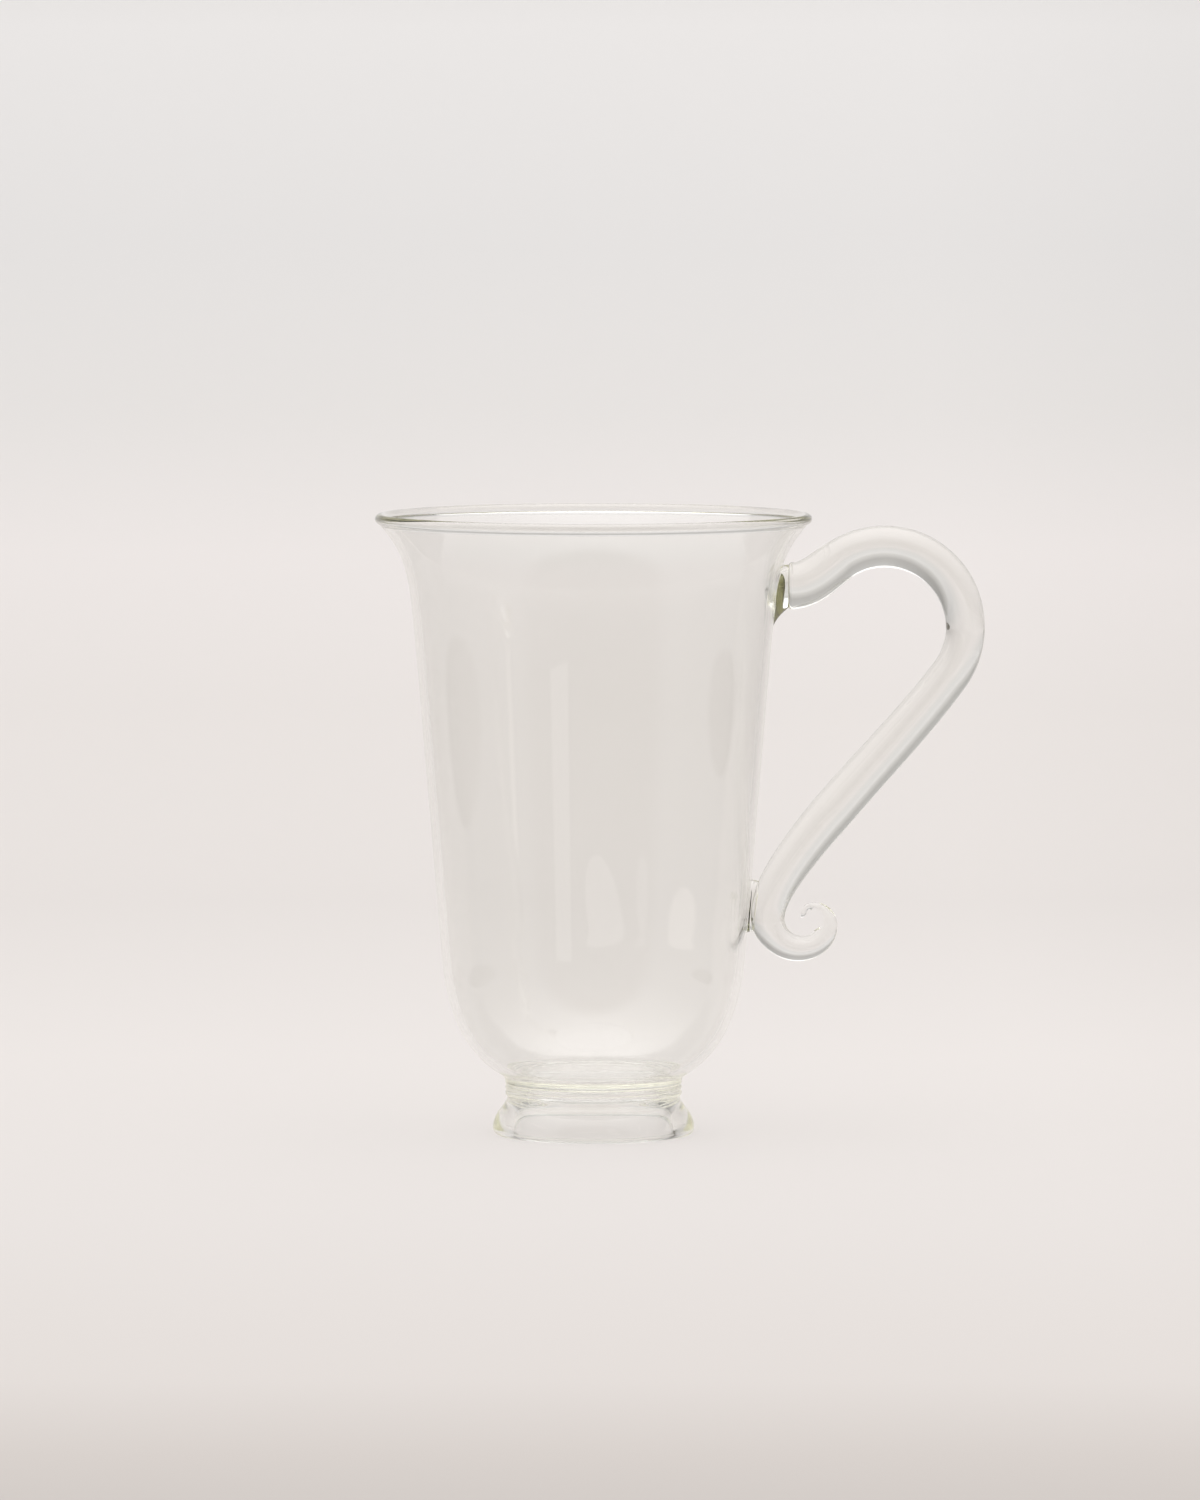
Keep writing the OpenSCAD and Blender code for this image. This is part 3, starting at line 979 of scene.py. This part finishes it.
# A tent of white cloth round the table: bright overhead, dim towards the right, and dim and warm behind the
# camera. Places run from -1 to 1 along each axis
TENT_UP = (
    (-1, "747474"),
    (-0.03, "747474"),
    (0.02, "7C7C7C"),
    (0.3, "888888"),
    (0.65, "C0C0C0"),
    (0.86, "E2E2E2"),
    (0.96, "FFFFFF"),
    (1, "FFFFFF"),
)
TENT_ACROSS = ((-1, "FFFFFF"), (0.2, "F8F8F8"), (0.8, "E4E4E4"), (1, "D8D8D8"))
TENT_AWAY = ((-1, "A09A90"), (-0.75, "A8A298"), (-0.6, "FFFEFE"), (1, "FFFEFE"))
TENT_GLOW = 2.6

# The softbox over the left of the table: size, place and aim in metres, power in watts
SOFTBOX_SIZE, SOFTBOX_POWER = (0.9, 0.7), 2.5
SOFTBOX_PLACE, SOFTBOX_AIM = (-0.4, -0.45, 1.1), (0, 0, 0.06)

# White cards and dark flags beside the camera, which the inside of the bowl's far wall mirrors. They glow,
# and only the glass sees
# them, so they are painted reflections: colour, strength, round or not, centre in mm, width and height in mm,
# turn about the upright and tilt in degrees
CARDS = {
    "card_window": ("FFFCFA", 0.75, False, (280, -600, 124), (160, 84), 0, 0),
    "card_middle": ("FFFAF8", 0.75, True, (-120, -600, 87), (380, 34), 0, 3),
    "card_far": ("FFFAF8", 0.6, True, (-500, -600, 102), (180, 24), 0, 0),
    "card_left": ("FFFAF8", 1.3, True, (-500, -115, 64), (260, 18), 90, -3),
    "card_cord": ("FFFAF8", 1.2, True, (500, -248, 104), (34, 110), 90, 0),
    "flag_right": ("8C8468", 0.3, True, (500, 240, 98), (450, 58), 90, -4),
    "flag_left": ("8C8468", 0.3, True, (-500, 180, 105), (310, 38), 90, -4),
}
OVAL_POINTS = 48  # points round a card that is round

# The photo's camera, found from the ellipses of rim and foot: sensor and lens in mm, distance from the
# mug's axis and height in metres, and how far it looks down in degrees
SENSOR, LENS = 36.0, 228.0
EYE_DISTANCE, EYE_HEIGHT, EYE_TILT = 1.98, 0.2262, 4.208
# The mug's axis stands this many pixels left of the photo's middle, at this many pixels per mm
AXIS_OFFSET, PHOTO_SCALE = 6.5, 4.8
# Light runs down inside the wall as in a light guide and bounces many times before it leaves
GLASS_BOUNCES, CLEAR_BOUNCES = 160, 32


def shaded(tree, place, along):
    """A colour that follows a place: the product of one colour ramp per axis, given as (place, hex) stops."""
    split = add_node(tree, "ShaderNodeSeparateXYZ", None, {"Vector": place})
    product = None
    for axis, stops in along.items():
        low, high = stops[0][0], stops[-1][0]
        span = add_node(
            tree,
            "ShaderNodeMapRange",
            {"From Min": low, "From Max": high},
            {"Value": split.outputs[axis]},
        )
        ramp = add_node(tree, "ShaderNodeValToRGB", None, {"Fac": span.outputs["Result"]})
        elements = ramp.color_ramp.elements
        while len(elements) < len(stops):
            elements.new(0.5)
        for element, (at, code) in zip(elements, stops):
            element.position = (at - low) / (high - low)
            element.color = linear(code)
        colour = ramp.outputs["Color"]
        if product is not None:
            mix = add_node(
                tree,
                "ShaderNodeMix",
                {"data_type": "RGBA", "blend_type": "MULTIPLY", 0: 1.0},
                {6: product, 7: colour},
            )
            colour = mix.outputs[2]
        product = colour
    return product


def background_paper():
    """Matt background paper, warm grey, with painted light and shade: a little cooler high up, and painted
    shade above the mug, towards the camera and to the right, which is what draws the edges of the clear
    glass."""
    mat, tree = new_material("Matt Background Paper")
    place = add_node(tree, "ShaderNodeTexCoord")
    # Painted light and shade: the paper's colour darkens above the mug, towards the camera and to the right
    lit = shaded(
        tree,
        place.outputs["Object"],
        {"Z": ((0, sizes("mug_studio").paper), *PAPER_LIGHT_UP), "Y": PAPER_LIGHT_AWAY, "X": PAPER_LIGHT_ACROSS},
    )
    paper = add_node(tree, "ShaderNodeBsdfDiffuse", None, {"Color": lit})
    glow = add_node(tree, "ShaderNodeEmission", {"Strength": 1.0}, {"Color": lit})
    path = add_node(tree, "ShaderNodeLightPath")
    glassy = add_node(
        tree,
        "ShaderNodeMath",
        {"operation": "MAXIMUM"},
        {0: path.outputs["Is Camera Ray"], 1: path.outputs["Is Transmission Ray"]},
    )
    seen = add_node(
        tree,
        "ShaderNodeMath",
        {"operation": "MAXIMUM"},
        {0: glassy.outputs["Value"], 1: path.outputs["Is Glossy Ray"]},
    )
    share = add_node(
        tree,
        "ShaderNodeMath",
        {"operation": "MULTIPLY", 1: GLOW_SHARE},
        {0: seen.outputs["Value"]},
    )
    front = add_node(
        tree,
        "ShaderNodeMixShader",
        None,
        {0: share.outputs["Value"], 1: paper.outputs["BSDF"], 2: glow.outputs["Emission"]},
    )
    # From behind, the paper lets the eye through, so that the mug can be seen from every side
    face = add_node(tree, "ShaderNodeNewGeometry")
    through = add_node(tree, "ShaderNodeBsdfTransparent")
    shown = add_node(
        tree,
        "ShaderNodeMixShader",
        None,
        {0: face.outputs["Backfacing"], 1: front.outputs["Shader"], 2: through.outputs["BSDF"]},
    )
    add_node(tree, "ShaderNodeOutputMaterial", None, {"Surface": shown.outputs["Shader"]})
    return mat


def lay_sweep():
    """Lays the background paper a hair under the foot and up behind the mug."""
    floor = -SEAM * MM
    run = [Vector((SWEEP_FRONT, floor)), Vector((BEND_START, floor))]
    run += arc(Vector((BEND_START, floor + BEND_R)), BEND_R, -90, 0, BEND_STEPS)[1:]
    run.append(Vector((BEND_START + BEND_R, SWEEP_TOP)))
    bm = bmesh.new()
    verts = [bm.verts.new((-SWEEP_HALF, p.x, p.y)) for p in run]
    edges = [bm.edges.new(pair) for pair in zip(verts, verts[1:])]
    grown = bmesh.ops.extrude_edge_only(bm, edges=edges)["geom"]
    right = [g for g in grown if isinstance(g, bmesh.types.BMVert)]
    bmesh.ops.translate(bm, vec=(2 * SWEEP_HALF, 0, 0), verts=right)
    bm.normal_update()
    if min(bm.faces, key=lambda f: f.calc_center_median().z).normal.z < 0:
        bmesh.ops.reverse_faces(bm, faces=bm.faces[:])
    mesh = bpy.data.meshes.new("paper_sweep")
    bm.to_mesh(mesh)
    bm.free()
    mesh.shade_smooth()
    mesh.materials.append(background_paper())
    sweep = bpy.data.objects.new("paper_sweep", mesh)
    bpy.context.scene.collection.objects.link(sweep)


def hang_tent():
    """Hangs the white tent that lights the mug from all sides."""
    world = bpy.data.worlds.new("Studio")
    bpy.context.scene.world = world
    world.use_nodes = True
    tree = world.node_tree
    tree.nodes.clear()
    place = add_node(tree, "ShaderNodeTexCoord")
    cloth = shaded(tree, place.outputs["Generated"], {"Z": TENT_UP, "X": TENT_ACROSS, "Y": TENT_AWAY})
    sky = add_node(tree, "ShaderNodeBackground", {"Strength": TENT_GLOW}, {"Color": cloth})
    add_node(tree, "ShaderNodeOutputWorld", None, {"Surface": sky.outputs["Background"]})


def hang_softbox():
    """Hangs the softbox that draws the mug's soft shadow. The glass doesn't mirror it."""
    light = bpy.data.lights.new("softbox_top", "AREA")
    light.shape = "RECTANGLE"
    light.size, light.size_y = SOFTBOX_SIZE
    light.energy = SOFTBOX_POWER
    lamp = bpy.data.objects.new("softbox_top", light)
    lamp.location = SOFTBOX_PLACE
    lamp.rotation_euler = (Vector(SOFTBOX_AIM) - lamp.location).to_track_quat("-Z", "Y").to_euler()
    lamp.visible_glossy = lamp.visible_transmission = False
    bpy.context.scene.collection.objects.link(lamp)


def card_finish(name, colour, strength):
    """A white glow that the glass mirrors as a painted soft pale reflection, or a dim olive glow that it
    mirrors as a painted dull one.
    """
    # Glows that paint reflections into the glass, not lit board or felt
    mat, tree = new_material("Olive Felt" if name.startswith("flag") else "White Foam Board")
    glow = add_node(tree, "ShaderNodeEmission", {"Color": linear(colour), "Strength": strength})
    add_node(tree, "ShaderNodeOutputMaterial", None, {"Surface": glow.outputs["Emission"]})
    return mat


def stand_card(name, colour, strength, is_round, centre, size, turn, tilt):
    """Stands up a card that only the glass sees, in mirror and through itself."""
    bm = bmesh.new()
    if is_round:
        bmesh.ops.create_circle(bm, cap_ends=True, segments=OVAL_POINTS, radius=0.5, calc_uvs=False)
    else:
        bmesh.ops.create_grid(bm, x_segments=1, y_segments=1, size=0.5, calc_uvs=False)
    upright = Matrix.Rotation(math.radians(turn), 4, "Z") @ Matrix.Rotation(math.radians(90), 4, "X")
    shaped = Matrix.Rotation(math.radians(tilt), 4, "Z") @ Matrix.Diagonal((size[0] * MM, size[1] * MM, 1, 1))
    stood = Matrix.Translation(Vector(centre) * MM) @ upright @ shaped
    bmesh.ops.transform(bm, matrix=stood, verts=bm.verts[:])
    mesh = bpy.data.meshes.new(name)
    bm.to_mesh(mesh)
    bm.free()
    mesh.materials.append(card_finish(name, colour, strength))
    card = bpy.data.objects.new(name, mesh)
    card.visible_camera = card.visible_diffuse = card.visible_shadow = False
    bpy.context.scene.collection.objects.link(card)


def place_camera():
    """Places the photo's camera and sets how far light is followed."""
    scene = bpy.context.scene
    camera = bpy.data.cameras.new("photo_camera")
    camera.sensor_width = SENSOR
    camera.lens = LENS
    camera.clip_start, camera.clip_end = 0.1, 20.0
    eye = bpy.data.objects.new("photo_camera", camera)
    eye.location = (AXIS_OFFSET / PHOTO_SCALE * MM, -EYE_DISTANCE, EYE_HEIGHT)
    eye.rotation_euler = (math.radians(90 - EYE_TILT), 0, 0)
    scene.collection.objects.link(eye)
    scene.camera = eye
    scene.view_settings.view_transform = "Standard"
    scene.cycles.max_bounces = GLASS_BOUNCES
    scene.cycles.transmission_bounces = GLASS_BOUNCES
    scene.cycles.glossy_bounces = GLASS_BOUNCES
    scene.cycles.transparent_max_bounces = CLEAR_BOUNCES


class MUG_OT_studio(bpy.types.Operator):
    """Set up the pale sweep, the soft lights and the camera"""

    bl_idname = "mug.studio"
    bl_label = "Studio"

    def execute(self, context):
        lay_sweep()
        hang_tent()
        hang_softbox()
        for name, card in CARDS.items():
            stand_card(name, *card)
        place_camera()
        return {"FINISHED"}


class MUG_PT_sidebar(bpy.types.Panel):
    """Sizes and steps of the glass mug"""

    bl_idname = "MUG_PT_sidebar"
    bl_label = "Glass Mug"
    bl_space_type = "VIEW_3D"
    bl_region_type = "UI"
    bl_category = "Glass Mug"

    def draw(self, context):
        for group, kind in GROUPS.items():
            box = self.layout.box()
            box.label(text=kind.__name__)
            values = getattr(context.scene, group)
            for key in kind.__annotations__:
                box.prop(values, key)
        for step in STEPS:
            self.layout.operator(step.bl_idname)


STEPS = (
    MUG_OT_bowl,
    MUG_OT_neck,
    MUG_OT_foot,
    MUG_OT_handle,
    MUG_OT_upper_weld,
    MUG_OT_lower_weld,
    MUG_OT_studio,
)


def register():
    """Registers the groups, the operators and the panel."""
    for group, kind in GROUPS.items():
        bpy.utils.register_class(kind)
        setattr(bpy.types.Scene, group, bpy.props.PointerProperty(type=kind))
    for kind in (*STEPS, MUG_PT_sidebar):
        bpy.utils.register_class(kind)


def unregister():
    """Takes everything back that register added."""
    for kind in (*STEPS, MUG_PT_sidebar):
        bpy.utils.unregister_class(kind)
    for group, kind in GROUPS.items():
        delattr(bpy.types.Scene, group)
        bpy.utils.unregister_class(kind)


def main():
    """Builds the mug and the studio."""
    register()
    bpy.ops.mug.bowl()
    bpy.ops.mug.neck()
    bpy.ops.mug.foot()
    bpy.ops.mug.handle()
    bpy.ops.mug.upper_weld()
    bpy.ops.mug.lower_weld()
    bpy.ops.mug.studio()


if __name__ == "__main__":
    main()
